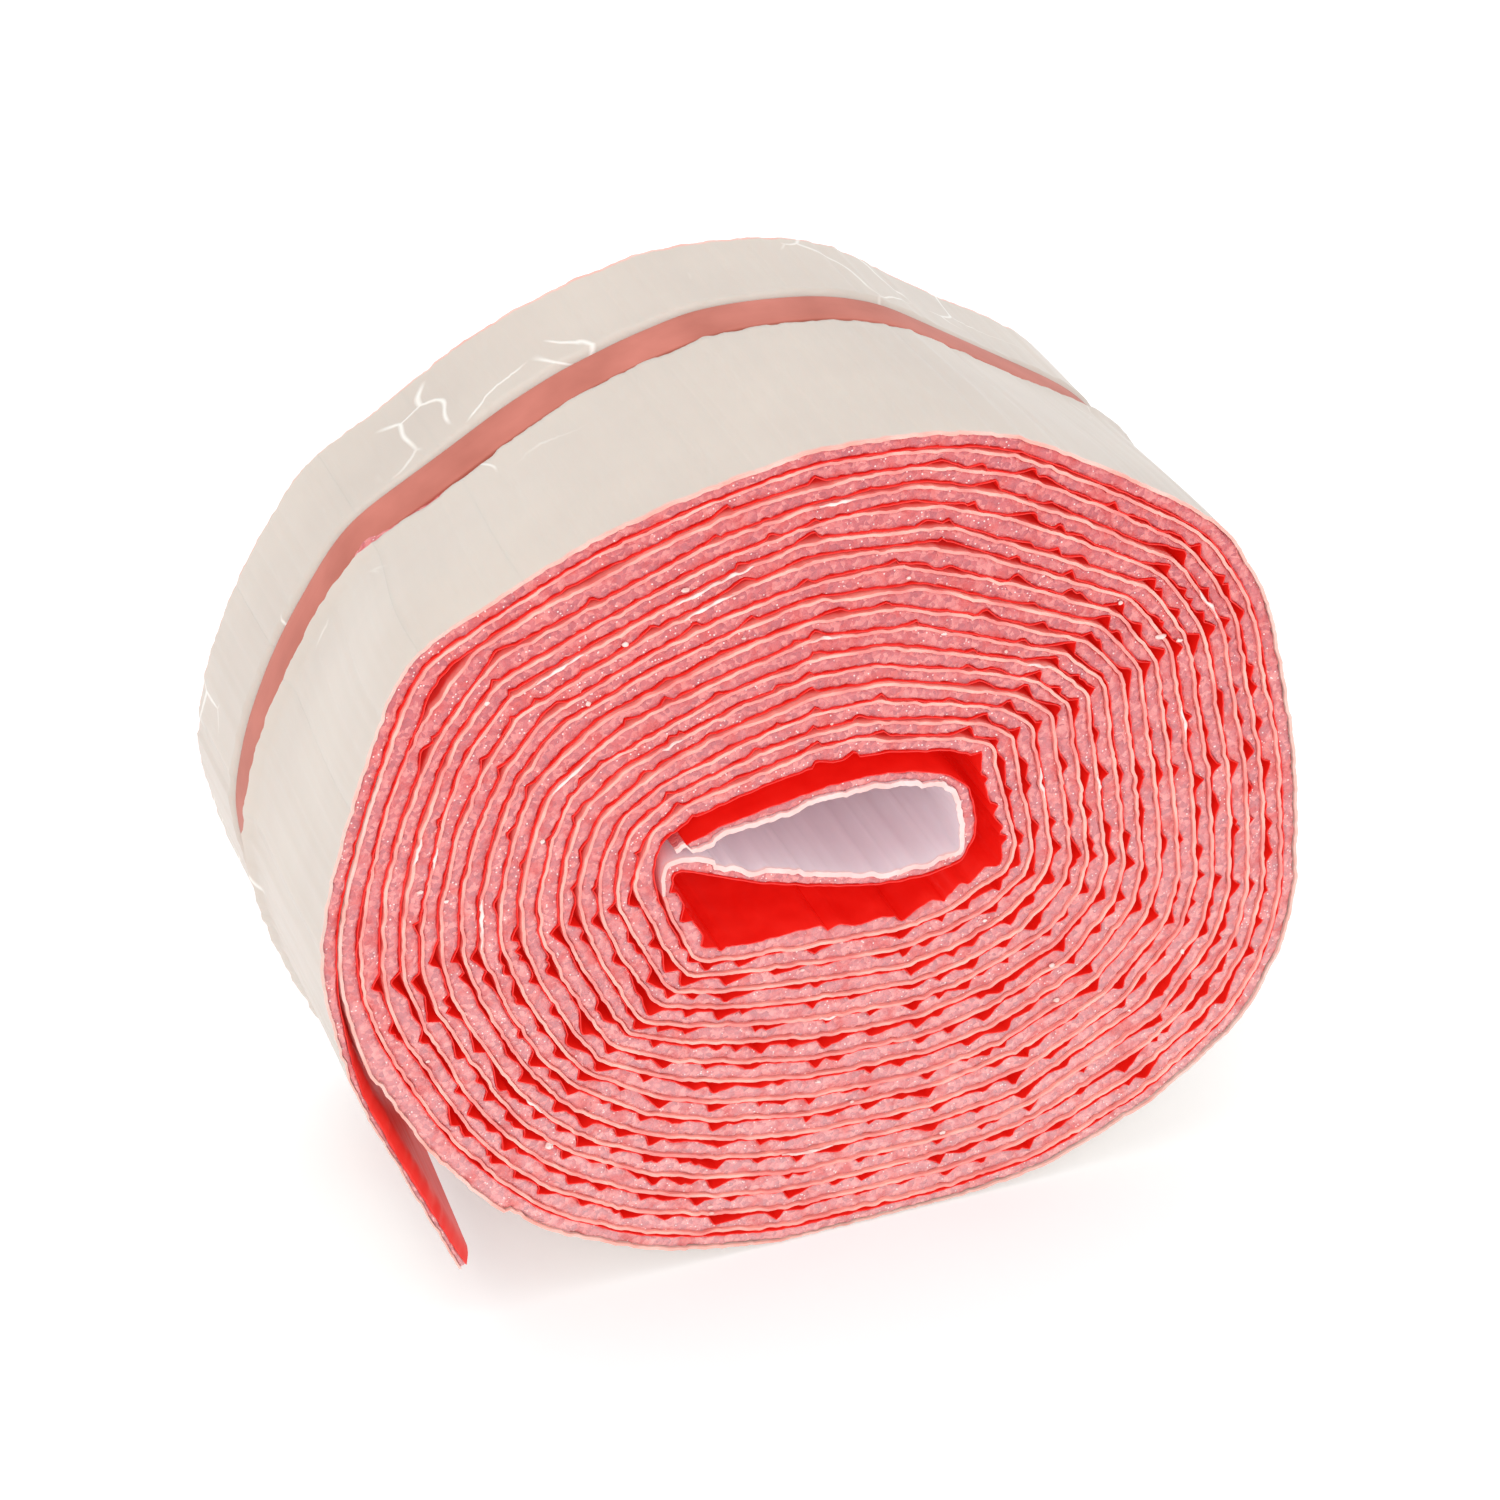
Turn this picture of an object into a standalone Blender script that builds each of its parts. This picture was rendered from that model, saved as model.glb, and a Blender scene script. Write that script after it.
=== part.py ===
"""Oval roll of laminated foam strip, lying on its curved side and held shut by a rubber band.

The strip has three plies: a red facing film on its inner side, a foam core and a white backing film on its
outer side. Its inner end is folded back into a loose eye, and from the fold the strip winds 17 turns
outwards. The last part of the outermost turn is split at its creases, where it hinges open as a tail.

Metres, +Z up. The roll's axis runs along Y, the front face is at -Y, and the origin is the middle of the
box that the object stands on, at floor level.
"""
import math
import random
from bisect import bisect_left

import bmesh
import bpy
from mathutils import Vector

MM = 0.001

# strip
STRIP_WIDTH = 50.0 * MM
FACING = 0.10 * MM
FOAM = 1.45 * MM
BACKING = 0.15 * MM
PLY_GAP = 0.05 * MM          # glue line between two plies
STRIP = FACING + PLY_GAP + FOAM + PLY_GAP + BACKING
TURN_GAP = 0.10 * MM         # least gap between two turns
CREASE_LIFT = 0.20 * MM      # most that a crease may start outside the wanted outline

# winding
LAST_TURN = 17.05            # where the wound part ends and the straight tail begins
OUTLINE_TURNS = 16.7         # turns over which the eye's shape grows to the outer outline
CREASE_NEAR = 6.0 * MM       # distance between creases at the eye
CREASE_FAR = 12.5 * MM       # distance between creases on the outermost turn
MAJOR_CREASES = (0.05, 0.14, 0.165, 0.30, 0.35, 0.48, 0.51, 0.61, 0.64, 0.67, 0.80, 0.94, 0.97)
REST_CREASES = (16.30, 16.35)    # the facet between these two is the one that the roll lies on
CREASE_SCATTER = 0.25        # how far a minor crease may move, as a share of the distance between creases
OUTLINE_MARGIN = 0.08 * STRIP    # how far inside the wanted outline the winding starts
FREE_TURNS = 0.25            # the strip stands free of the eye this far after the fold
EYE_TURNS = 1.3              # turns that can touch the eye
TURN_BELOW = (1.12, 0.88)    # how many turns back the turn below a stretch begins and ends
FOLD_SHARE = 0.8             # thickness left where the strip leaves the fold
SEED = 7
WINDING_SWEEPS = 80
SLACK = 0.1 * MM             # how far a crease may lie below the line between its neighbours
LENGTH_STEPS = 40            # chords that a turn's length is summed over

# tail
TAIL_HINGES = (16.89, 16.94, 17.0, 17.05)    # creases of the last turn that open
TAIL_CREASES = (16.865, 16.89, 16.915, 16.94, 16.97, 17.0, 17.025, 17.05)    # with the stiff ones
WOUND_MARGIN = 0.02          # turns kept free of minor creases before the tail's first crease
TIP_TURN_STEP = 0.04         # turns counted for each straight stretch of the tip
HINGE_GAP = 0.30 * MM

# rubber band
BAND_WIDTH = 6.0 * MM
BAND_THICKNESS = 0.8 * MM
BAND_Y = 7.0 * MM            # centre, measured from the roll's middle towards the back
BAND_GAP = 0.05 * MM
GROOVE_DEPTH = 1.20 * MM     # how far the band presses the foam in
GROOVE_SIDE = 0.4 * MM
GROOVE_LIP = 0.8 * MM        # width of the groove's sloping side
GROOVE_TURNS = 1.04          # the band touches this much of the strip, counted back from the tip

CENTRE = Vector((0.0, 3.0)) * MM

# Outer side of the strip at 20 places round a turn, counter-clockwise from the fold at the left:
# (x, z) on the first turn, then (x, z) on the last one, in millimetres from the middle of the face.
OUTLINE = (
    ((-21.8, 5.0), (-56.9, 11.0)),
    ((-21.2, 2.2), (-58.0, -1.5)),
    ((-19.3, -2.2), (-55.4, -10.8)),
    ((-17.2, -6.6), (-47.8, -26.0)),
    ((-12.0, -7.2), (-38.2, -37.6)),
    ((-6.0, -7.0), (-25.0, -45.4)),
    ((0.0, -7.4), (-9.0, -49.3)),
    ((6.5, -7.9), (13.0, -49.3)),
    ((12.0, -6.2), (31.0, -45.8)),
    ((17.0, -4.4), (48.8, -34.0)),
    ((18.7, -1.5), (55.2, -20.0)),
    ((17.8, 3.5), (54.8, -5.0)),
    ((16.3, 8.0), (52.6, 8.5)),
    ((14.8, 12.4), (44.0, 25.0)),
    ((8.5, 13.6), (33.0, 39.5)),
    ((2.0, 14.9), (14.0, 49.2)),
    ((-4.0, 14.2), (-4.0, 52.0)),
    ((-12.0, 12.3), (-21.0, 48.0)),
    ((-18.5, 10.2), (-41.5, 38.0)),
    ((-21.4, 8.2), (-51.0, 27.5)),
)

# Red side of the folded inner end, from its free tip round the eye to the fold, in millimetres, with the
# strip's thickness there as a part of its full thickness: the tip and the fold are pinched.
EYE = (
    ((-19.6, 7.6), 0.35), ((-17.5, 8.4), 0.55), ((-14.5, 9.4), 0.85), ((-9.0, 10.5), 1.0),
    ((-3.0, 11.4), 1.0), ((2.5, 11.6), 1.0), ((7.5, 11.0), 1.0), ((11.5, 9.7), 1.0),
    ((14.2, 7.4), 1.0), ((15.1, 3.8), 1.0), ((14.9, 0.4), 1.0), ((13.4, -2.1), 1.0),
    ((10.0, -3.0), 1.0), ((4.5, -2.8), 1.0), ((0.0, -2.0), 1.0), ((-5.0, -0.7), 1.0),
    ((-10.0, 1.0), 1.0), ((-15.0, 3.1), 0.9), ((-18.2, 4.6), 0.6), ((-19.8, 4.7), 0.55),
    ((-19.9, 3.2), 0.6),
)

# Red side of the tail beyond the last wound crease, in millimetres.
TAIL = ((-54.2, -13.6), (-48.6, -26.4), (-42.8, -39.2))


# ---------------------------------------------------------------- the strip's path

def lerp(a, b, f):
    return a + (b - a) * f


def smooth_point(points, place):
    """Point on a closed Catmull-Rom curve; whole numbers of place are its control points."""
    n = len(points)
    i = math.floor(place)
    f = place - i
    p0, p1, p2, p3 = (points[(i + k) % n] for k in (-1, 0, 1, 2))
    return 0.5 * (2 * p1 + (p2 - p0) * f + (2 * p0 - 5 * p1 + 4 * p2 - p3) * f * f
                  + (3 * p1 - p0 - 3 * p2 + p3) * f ** 3)


def outline_point(turn):
    """Wanted place of the strip's outer side, where turn counts the turns from the fold."""
    inner = [Vector(row[0]) * MM for row in OUTLINE]
    outer = [Vector(row[1]) * MM for row in OUTLINE]
    n = len(OUTLINE)
    place = (turn % 1.0) * n
    i = int(place)
    straight = lerp(inner[i % n], inner[(i + 1) % n], place - i)
    return lerp(straight, smooth_point(outer, place), turn / OUTLINE_TURNS)


def turn_length(turn):
    points = [outline_point(turn + k / LENGTH_STEPS) for k in range(LENGTH_STEPS + 1)]
    return sum((b - a).length for a, b in zip(points, points[1:]))


def crease_places():
    """Turn numbers of all creases: the major ones line up, the others are spread between them."""
    rng = random.Random(SEED)
    places = []
    for turn in range(math.ceil(LAST_TURN)):
        spacing = lerp(CREASE_NEAR, CREASE_FAR, turn / OUTLINE_TURNS)
        ends = [turn + m for m in MAJOR_CREASES] + [turn + 1 + MAJOR_CREASES[0]]
        for a, b in zip(ends, ends[1:]):
            count = max(1, round((b - a) * turn_length(turn) / spacing))
            for k in range(count):
                scatter = rng.uniform(-CREASE_SCATTER, CREASE_SCATTER) if k else 0.0
                places.append(a + (b - a) * (k + scatter) / count)
    places = [place for place in places if place < TAIL_CREASES[0] - WOUND_MARGIN]
    return places + list(TAIL_CREASES)


def offset_points(points, depths):
    """Points moved to the right of the path, so that each stretch moves out by the given depth."""
    moved = []
    last = len(points) - 1
    for i, (point, depth) in enumerate(zip(points, depths)):
        before = (points[i] - points[i - 1]).normalized() if i > 0 else None
        after = (points[i + 1] - points[i]).normalized() if i < last else None
        before = before or after
        after = after or before
        n1 = Vector((before.y, -before.x))
        n2 = Vector((after.y, -after.x))
        moved.append(point + (n1 + n2) * depth / (1 + n1.dot(n2)))
    return moved


def polar(point):
    arm = point - CENTRE
    return math.atan2(arm.y, arm.x), arm.length


def ray_radius(a, b, angle):
    """Distance from the centre to the line a-b along a ray, or 0 where the ray misses the stretch."""
    ray = Vector((math.cos(angle), math.sin(angle)))
    side = Vector((-ray.y, ray.x))
    da, db = (a - CENTRE).dot(side), (b - CENTRE).dot(side)
    if da * db > 0 or da == db:
        return 0.0
    hit = lerp(a, b, da / (da - db)) - CENTRE
    return max(0.0, hit.dot(ray))


def clashes(a, b, below):
    """Directions to test between a and b, each with the radius of what lies below there."""
    ends = [polar(a)[0], polar(b)[0]]
    for angle in ends:
        radius = max((ray_radius(c, d, angle) for c, d in below), default=0.0)
        if radius:
            yield angle, radius
    for c, d in below:
        yield polar(c)


def wind():
    """The red side of the wound strip: each turn is pulled tight over the turn below it."""
    rng = random.Random(SEED + 1)
    places = crease_places()
    angles, radii = [], []
    for place in places:
        angle, radius = polar(outline_point(place))
        angles.append(angle)
        radii.append(radius - STRIP - OUTLINE_MARGIN + rng.uniform(0, CREASE_LIFT))

    eye = [Vector(p) * MM for p, _ in EYE]
    fold = offset_points(eye, [STRIP * part for _, part in EYE])[-4:]
    core = eye + fold[::-1]

    def place_at(i):
        ray = Vector((math.cos(angles[i]), math.sin(angles[i])))
        return CENTRE + ray * radii[i]

    for _ in range(WINDING_SWEEPS):
        red = [place_at(i) for i in range(len(places))]
        white = offset_points(red, [STRIP] * len(red))
        worst = 0.0
        for i in range(len(places) - 1):
            if places[i] < FREE_TURNS:
                continue
            low = bisect_left(places, places[i] - TURN_BELOW[0])
            high = bisect_left(places, places[i + 1] - TURN_BELOW[1])
            below = [(white[k], white[k + 1]) for k in range(low, min(high, i - 3))]
            if places[i] < EYE_TURNS:
                below += list(zip(core, core[1:]))
            for angle, radius in clashes(red[i], red[i + 1], below):
                f = (angle - angles[i]) % (2 * math.pi) / ((angles[i + 1] - angles[i]) % (2 * math.pi))
                mine = ray_radius(red[i], red[i + 1], angle)
                need = radius + TURN_GAP - mine
                if f > 1 or not mine or need < 1e-7:
                    continue
                worst = max(worst, need)
                share = need / (f * f + (1 - f) ** 2)
                radii[i] += share * (1 - f)
                radii[i + 1] += share * f
                red[i], red[i + 1] = place_at(i), place_at(i + 1)
            if i and places[i] > 1:
                taut = ray_radius(red[i - 1], red[i + 1], angles[i]) - SLACK
                radii[i] = max(radii[i], taut)
                red[i] = place_at(i)
            for k in (i - 1, i):
                if k > 0:
                    white[k] = offset_points(red[k - 1:k + 2], [STRIP] * 3)[1]
        if worst < 1e-6:
            break
    return places, [place_at(i) for i in range(len(places))]


def strip_path():
    """Red side of the whole strip, its thickness as a part of full, and its place in turns."""
    eye = [Vector(p) * MM for p, _ in EYE]
    parts = [part for _, part in EYE]
    places, wound = wind()
    tail = [Vector(p) * MM for p in TAIL]
    points = eye + wound + tail
    parts += [1.0] * (len(wound) + len(tail))
    parts[len(eye)] = FOLD_SHARE
    turns = [-1.0] * len(eye) + places + [LAST_TURN + TIP_TURN_STEP * (k + 1) for k in range(len(tail))]
    return points, parts, turns


# ---------------------------------------------------------------- modelling

def new_material(name, colour, roughness):
    material = bpy.data.materials.new(name)
    material.use_nodes = True
    shader = material.node_tree.nodes["Principled BSDF"]
    shader.inputs["Base Color"].default_value = (*colour, 1.0)
    shader.inputs["Roughness"].default_value = roughness
    shader.inputs["Metallic"].default_value = 0.0
    return material


def add_sheet(name, columns, thickness, material, collection, pivot=(0, 0, 0), closed=False):
    """A sheet lofted over columns of (point, thickness share), made solid towards its outer side."""
    pivot = Vector(pivot)
    bm = bmesh.new()
    share = bm.verts.layers.deform.verify()
    rows = []
    for column in columns:
        verts = [bm.verts.new(point - pivot) for point, _ in column]
        for vert, (_, part) in zip(verts, column):
            vert[share][0] = part
        rows.append(verts)
    pairs = list(zip(rows, rows[1:])) + ([(rows[-1], rows[0])] if closed else [])
    for a, b in pairs:
        if len(a) == len(b):
            for k in range(len(a) - 1):
                bm.faces.new((a[k], a[k + 1], b[k + 1], b[k]))
        else:
            bm.faces.new(a + b[::-1])
    bm.normal_update()
    mesh = bpy.data.meshes.new(name)
    bm.to_mesh(mesh)
    bm.free()
    mesh.materials.append(material)
    obj = bpy.data.objects.new(name, mesh)
    obj.location = pivot
    collection.objects.link(obj)
    obj.vertex_groups.new(name="thickness")
    solid = obj.modifiers.new("Ply thickness", "SOLIDIFY")
    solid.thickness = thickness
    solid.offset = 1.0
    solid.use_even_offset = True
    solid.vertex_group = "thickness"
    return obj


def across(point, y):
    return Vector((point.x, y, point.y))


def groove_rows():
    """Y of the groove's two edges and of its floor's two sides."""
    low = BAND_Y - BAND_WIDTH / 2 - GROOVE_SIDE
    high = BAND_Y + BAND_WIDTH / 2 + GROOVE_SIDE
    return low - GROOVE_LIP, low, high, high + GROOVE_LIP


def ply_columns(points, parts, pressed, depth, sinks, ply):
    """Columns of one ply whose inner side lies at depth above the strip's red side.

    pressed is None where the band can't reach, or 0 to 1 for how far it presses there. A ply that sinks
    goes down whole, and one that doesn't is squeezed thinner if it is thick enough."""
    half = STRIP_WIDTH / 2
    outwards = [b - a for a, b in zip(points, offset_points(points, [1.0] * len(points)))]
    edge_low, floor_low, floor_high, edge_high = groove_rows()
    columns = []
    for point, part, press, out in zip(points, parts, pressed, outwards):
        base = point + out * depth * part
        rows = [(across(base, -half), part)]
        if press is not None and ply != "facing":
            sunk = base - out * GROOVE_DEPTH * press if sinks else base
            squeezed = part if sinks else part * (1 - GROOVE_DEPTH * press / FOAM)
            rows += [(across(base, edge_low), part), (across(sunk, floor_low), squeezed),
                     (across(sunk, floor_high), squeezed), (across(base, edge_high), part)]
        rows.append((across(base, half), part))
        columns.append(rows)
    return columns


def add_plies(name, points, parts, pressed, materials, collection, pivot=(0, 0, 0)):
    """The three plies of one stretch of the strip."""
    foam_depth = FACING + PLY_GAP
    backing_depth = foam_depth + FOAM + PLY_GAP
    plies = (("facing", 0.0, FACING, False), ("foam", foam_depth, FOAM, False),
             ("backing", backing_depth, BACKING, True))
    for ply, depth, thickness, sinks in plies:
        columns = ply_columns(points, parts, pressed, depth, sinks, ply)
        add_sheet(f"{name}_{ply}", columns, thickness, materials[ply], collection, pivot)


def trimmed(points, at_start, at_end):
    """The path with half a hinge gap taken off the chosen ends."""
    points = list(points)
    if at_start:
        points[0] += (points[1] - points[0]).normalized() * HINGE_GAP / 2
    if at_end:
        points[-1] += (points[-2] - points[-1]).normalized() * HINGE_GAP / 2
    return points


def convex_hull(points):
    """Corners of the convex outline round points, counter-clockwise."""
    def chain(ordered):
        kept = []
        for p in ordered:
            while len(kept) > 1:
                a, b = kept[-1] - kept[-2], p - kept[-1]
                if a.x * b.y - a.y * b.x > 0:
                    break
                kept.pop()
            kept.append(p)
        return kept[:-1]
    ordered = sorted(points, key=lambda p: (p.x, p.y))
    return chain(ordered) + chain(ordered[::-1])


def add_band(points, pressed, material, collection):
    """The band lies stretched round everything that it can reach, in the groove that it presses."""
    out = offset_points(points, [STRIP - GROOVE_DEPTH + BAND_GAP] * len(points))
    loop = convex_hull([p for p, press in zip(out, pressed) if press is not None])
    low, high = BAND_Y - BAND_WIDTH / 2, BAND_Y + BAND_WIDTH / 2
    columns = [[(across(p, low), 1.0), (across(p, high), 1.0)] for p in loop]
    add_sheet("rubber_band", columns, BAND_THICKNESS, material, collection, closed=True)


def level(points, turns):
    """Turn and move the section so that it lies on its resting facet with its middle at x = 0."""
    white = offset_points(points, [STRIP] * len(points))
    rest = [white[turns.index(t)] for t in REST_CREASES]
    slope = math.atan2(rest[1].y - rest[0].y, rest[1].x - rest[0].x)
    turned = [Vector((p.x * math.cos(slope) + p.y * math.sin(slope),
                      p.y * math.cos(slope) - p.x * math.sin(slope))) for p in points]
    white = offset_points(turned, [STRIP] * len(turned))
    middle = (min(p.x for p in white) + max(p.x for p in white)) / 2
    floor = min(p.y for p in white)
    return [p - Vector((middle, floor)) for p in turned]


def main():
    for obj in list(bpy.data.objects):
        bpy.data.objects.remove(obj, do_unlink=True)
    collection = bpy.data.collections.new("Foam strip roll")
    bpy.context.scene.collection.children.link(collection)
    materials = {
        "facing": new_material("Red PE film", (0.72, 0.01, 0.005), 0.35),
        "foam": new_material("EPE foam", (0.74, 0.21, 0.20), 0.80),
        "backing": new_material("White PE film", (0.78, 0.72, 0.68), 0.45),
        "band": new_material("Natural rubber", (0.73, 0.22, 0.13), 0.55),
    }

    points, parts, turns = strip_path()
    points = level(points, turns)
    reach = [t > turns[-1] - GROOVE_TURNS for t in turns]
    pressed = [None if not r else (1.0 if before else 0.0) for r, before in zip(reach, [False] + reach)]

    creases = [turns.index(t) for t in TAIL_HINGES] + list(range(len(points) - len(TAIL), len(points)))
    hinges = offset_points(points, [STRIP] * len(points))
    first = creases[0]
    add_plies("roll", trimmed(points[:first + 1], False, True), parts[:first + 1], pressed[:first + 1],
              materials, collection)
    for number, (a, b) in enumerate(zip(creases, creases[1:]), start=1):
        stretch = trimmed(points[a:b + 1], True, b < creases[-1])
        add_plies(f"tail_{number}", stretch, parts[a:b + 1], pressed[a:b + 1], materials, collection,
                  across(hinges[a], 0.0))
    add_band(points, pressed, materials["band"], collection)


main()
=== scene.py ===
import math
import random

import bmesh
import bpy
import numpy as np
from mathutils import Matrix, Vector
from mathutils.bvhtree import BVHTree


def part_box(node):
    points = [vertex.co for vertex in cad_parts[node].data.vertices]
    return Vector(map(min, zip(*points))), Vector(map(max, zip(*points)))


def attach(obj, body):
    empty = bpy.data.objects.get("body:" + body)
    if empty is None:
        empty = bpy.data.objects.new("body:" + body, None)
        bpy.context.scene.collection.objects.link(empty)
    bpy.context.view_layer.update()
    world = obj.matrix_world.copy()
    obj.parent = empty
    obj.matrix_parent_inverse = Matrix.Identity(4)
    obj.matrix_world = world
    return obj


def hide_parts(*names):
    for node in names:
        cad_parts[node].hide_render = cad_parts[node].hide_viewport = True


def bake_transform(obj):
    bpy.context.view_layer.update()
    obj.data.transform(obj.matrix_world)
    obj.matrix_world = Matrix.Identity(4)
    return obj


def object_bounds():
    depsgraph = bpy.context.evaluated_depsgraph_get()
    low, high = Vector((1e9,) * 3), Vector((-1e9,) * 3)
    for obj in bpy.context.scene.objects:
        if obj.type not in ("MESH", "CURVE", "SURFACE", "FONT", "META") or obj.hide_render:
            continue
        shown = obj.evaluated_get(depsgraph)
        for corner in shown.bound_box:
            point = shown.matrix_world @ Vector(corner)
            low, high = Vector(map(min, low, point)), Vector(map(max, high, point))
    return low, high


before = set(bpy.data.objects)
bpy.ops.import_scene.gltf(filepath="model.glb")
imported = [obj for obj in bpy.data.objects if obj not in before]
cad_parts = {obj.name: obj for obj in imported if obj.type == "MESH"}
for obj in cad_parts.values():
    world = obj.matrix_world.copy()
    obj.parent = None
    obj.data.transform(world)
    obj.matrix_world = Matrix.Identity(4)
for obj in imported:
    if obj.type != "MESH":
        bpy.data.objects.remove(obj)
cadLow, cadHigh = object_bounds()
mm = 0.001


# ---- small helpers

def hexColour(text, alpha=1.0):
    # sRGB hex to the linear values that sockets take
    parts = [int(text[i:i + 2], 16) / 255 for i in (0, 2, 4)]
    return (*[p / 12.92 if p <= 0.04045 else ((p + 0.055) / 1.055) ** 2.4 for p in parts], alpha)


def addNode(tree, kind, links=None, **settings):
    # adds a node, sets its sockets and properties by name, and links its inputs
    node = tree.nodes.new(kind)
    for name, value in settings.items():
        if hasattr(node, name):
            setattr(node, name, value)
        else:
            node.inputs[name.replace("_", " ")].default_value = value
    for name, source in (links or {}).items():
        tree.links.new(source, node.inputs[name])
    return node


def newMaterial(name):
    material = bpy.data.materials.new(name)
    material.use_nodes = True
    tree = material.node_tree
    return material, tree, tree.nodes["Principled BSDF"], addNode(tree, "ShaderNodeTexCoord").outputs["Object"]


def ripple(a, b, seed):
    # smooth value noise from -1 to 1 on a grid of whole numbers, for arrays a and b
    rng = np.random.default_rng(seed)
    grid = rng.uniform(-1, 1, (512, 64))
    ia, ib = np.floor(a).astype(int), np.floor(b).astype(int)
    fa, fb = a - ia, b - ib
    fa, fb = fa * fa * (3 - 2 * fa), fb * fb * (3 - 2 * fb)
    g = lambda i, j: grid[i % 512, j % 64]
    low = g(ia, ib) * (1 - fa) + g(ia + 1, ib) * fa
    high = g(ia, ib + 1) * (1 - fa) + g(ia + 1, ib + 1) * fa
    return low * (1 - fb) + high * fb


def wobble(s, pitch, seed):
    # noise along the strip, two octaves
    zero = np.zeros_like(s)
    return 0.7 * ripple(s / pitch, zero, seed) + 0.3 * ripple(s / pitch * 2.3, zero + 7, seed)


def smooth(values, reach):
    # running average with a bell-shaped weight, reach in columns
    half = int(math.ceil(3 * reach))
    weight = np.exp(-0.5 * (np.arange(-half, half + 1) / reach) ** 2)
    weight /= weight.sum()
    before, after = 2 * values[:1] - values[half:0:-1], 2 * values[-1:] - values[-2:-half - 2:-1]
    padded = np.concatenate([before, values, after])
    return np.apply_along_axis(lambda c: np.convolve(c, weight, "valid"), 0, padded)


def smoothMore(values, atStart, atEnd):
    # running average whose reach grows along the strip
    reaches = np.geomspace(atStart, atEnd, 5)
    layers = [smooth(values, r) for r in reaches]
    place = 4 * np.linspace(0, 1, len(values)) ** 1.3
    low = np.minimum(place.astype(int), 3)
    f = (place - low)[:, None]
    stack = np.stack(layers)
    index = np.arange(len(values))
    return stack[low, index] * (1 - f) + stack[low + 1, index] * f


# ---- the strip's run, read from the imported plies

def longEdges(nodeName, near):
    # left and right edge of a ply's front face, from its end nearest to a point
    bm = bmesh.new()
    bm.from_mesh(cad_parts[nodeName].data)
    bmesh.ops.remove_doubles(bm, verts=bm.verts, dist=1e-6)
    front = min(v.co.y for v in bm.verts)
    cap = {f for f in bm.faces if all(v.co.y < front + 1e-5 for v in f.verts)}
    links = {}
    for edge in bm.edges:
        if sum(f in cap for f in edge.link_faces) == 1:
            a, b = edge.verts
            links.setdefault(a, []).append(b)
            links.setdefault(b, []).append(a)
    loop, before = [next(iter(links))], None
    while True:
        following = [v for v in links[loop[-1]] if v is not before][0]
        if following is loop[0]:
            break
        before = loop[-1]
        loop.append(following)
    points = np.array([(v.co.x, v.co.z) for v in loop])
    bm.free()
    half = len(points) // 2
    turned = [np.roll(points, -k, axis=0) for k in range(len(points))]
    best = min(turned, key=lambda r: np.abs(r[:half] - r[half:][::-1]).sum())
    a, b = best[:half], best[half:][::-1]
    if np.hypot(*(a[0] - near)) > np.hypot(*(a[-1] - near)):
        a, b = a[::-1], b[::-1]
    along, across = a[1] - a[0], b[0] - a[0]
    return (b, a) if along[0] * across[1] - along[1] * across[0] > 0 else (a, b)


tailBodies = ["tail_1", "tail_2", "tail_3", "tail_4", "tail_5", "tail_6"]
middle = np.array([0.0, 0.5 * (cadLow.z + cadHigh.z)])
redRun, whiteRun, bodyStart = [], [], []
near = middle
for body in ["roll", *tailBodies]:
    redRun.append(longEdges(body + "_facing", near)[0])
    whiteRun.append(longEdges(body + "_backing", near)[1])
    bodyStart.append(sum(len(r) for r in redRun[:-1]))
    near = redRun[-1][-1]
redRun, whiteRun = np.vstack(redRun), np.vstack(whiteRun)
lengthRun = np.concatenate([[0], np.cumsum(np.hypot(*np.diff(0.5 * (redRun + whiteRun), axis=0).T))])
print("strip run:", len(redRun), "columns,", round(lengthRun[-1], 3), "m")

strip = {
    "step": 0.40 * mm,          # distance between two columns of the mesh
    "redFilm": 0.12 * mm,
    "whiteFilm": 0.34 * mm,     # drawn thicker than the real film, as the blade left a swollen edge
    "eyeFilm": 0.60 * mm,       # the same at the eye, where it curls over
    "eyeEnd": 80 * mm,          # the eye takes this much of the strip
    "roundNear": 0.35 * mm,     # how far the strip rounds its creases at the eye
    "roundFar": 3.2 * mm,       # and on the outermost turns
    "redRound": 0.3 * mm,       # further rounding of the inner side
    "whiteRound": 0.7 * mm,     # and of the outer side
    "leastGap": 0.05 * mm,
    "mostFill": 0.65 * mm,      # how far the foam may spread into the gap to the next turn
    "outerFill": 0.12 * mm,
    "telescope": 0.35 * mm,     # turns stand proud of each other by this much
    "lastTurn": 345 * mm,       # length of the turn that nothing covers, up to the tail
    "width": cadHigh.y - cadLow.y,
    "sole": 0.8 * mm,           # below this height the roll is pressed flat on the floor
    "seed": 11,
}

count = int(lengthRun[-1] / strip["step"])
s = np.linspace(0, lengthRun[-1], count)
step = s[1]
redBase = np.stack([np.interp(s, lengthRun, redRun[:, k]) for k in (0, 1)], 1)
whiteBase = np.stack([np.interp(s, lengthRun, whiteRun[:, k]) for k in (0, 1)], 1)
heading = np.unwrap(np.arctan2(*np.gradient(0.5 * (redBase + whiteBase), axis=0).T[::-1]))
hinges = [0.5 * (lengthRun[k - 1] + lengthRun[k]) for k in bodyStart[1:]]

# creases: where the strip turns sharply within 2 mm of its run
window = int(round(1.0 * mm / step))
turning = np.zeros(count)
turning[window:-window] = heading[2 * window:] - heading[:-2 * window]
creases = []
for i in np.argsort(-turning):
    if turning[i] < math.radians(5):
        break
    if all(abs(s[i] - s[k]) > 2.6 * mm for k in creases):
        creases.append(int(i))
creases.sort()
print("creases:", len(creases))

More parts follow.
